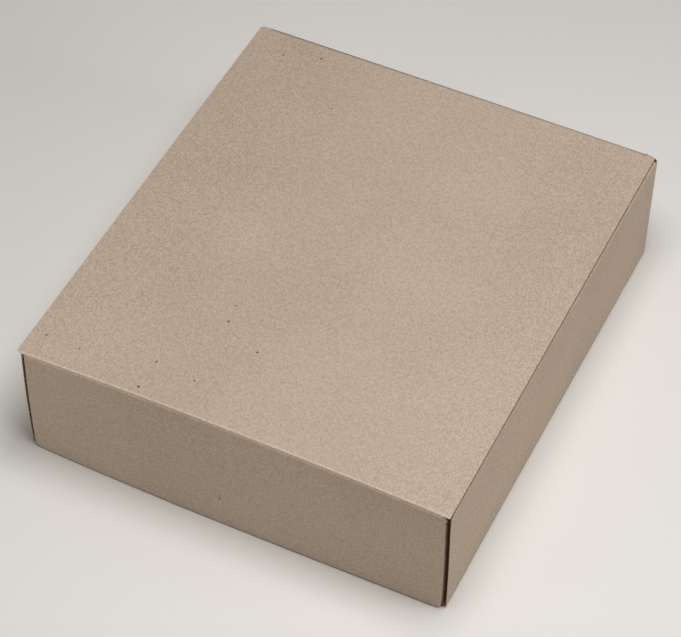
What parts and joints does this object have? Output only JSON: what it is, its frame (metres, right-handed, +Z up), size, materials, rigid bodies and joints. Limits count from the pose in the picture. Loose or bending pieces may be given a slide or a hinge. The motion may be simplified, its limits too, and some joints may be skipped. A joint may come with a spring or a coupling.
{
  "type": "closed corrugated cardboard mailer box",
  "caption": "Flat rectangular mailer box folded from one corrugated sheet, with double side walls and a hinged lid whose front flap tucks in.",
  "frame": {"origin": "centre of the closed box's footprint, on the surface it stands on", "axes": "+Z up; +Y from the lid's hinge crease to the tuck front; +X along the hinge crease"},
  "size_m": [0.22, 0.25, 0.07],
  "materials": {
    "tray_board": "matte uncoated kraft",
    "lid_board": "matte uncoated kraft"
  },
  "bodies": {
    "tray": {"tray": "tray_board"},
    "lid": {"lid": "lid_board"}
  },
  "joints": [
    {"name": "lid_hinge", "type": "hinge", "parent": "tray", "child": "lid", "pos_m": [0, -0.12444, 0.06944], "axis": [1, 0, 0], "range_deg": [0, 180]}
  ]
}
